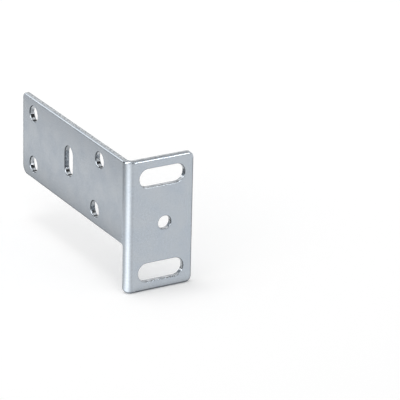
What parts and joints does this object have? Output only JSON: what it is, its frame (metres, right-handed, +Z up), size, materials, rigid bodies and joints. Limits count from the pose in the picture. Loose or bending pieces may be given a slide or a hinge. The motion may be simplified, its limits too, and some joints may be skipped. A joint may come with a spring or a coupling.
{
  "type": "rack mount ear bracket",
  "caption": "Folded sheet steel ear that screws to a device's side and carries it in a rack: slotted front flange and a longer leg with screw holes and a slot",
  "frame": {"origin": "on the axis of the flange's round hole, midway between the two rack slots, at the flange's rear face, which lies on the rack's rail", "axes": "X across the rack towards the flange's free edge, Y back along the device's side, Z up"},
  "size_m": [0.0238, 0.0713, 0.0444],
  "materials": {
    "zinc_plated_steel": "bright zinc plating, satin"
  },
  "bodies": {
    "root": {"ear_bracket": "zinc_plated_steel"}
  },
  "joints": []
}
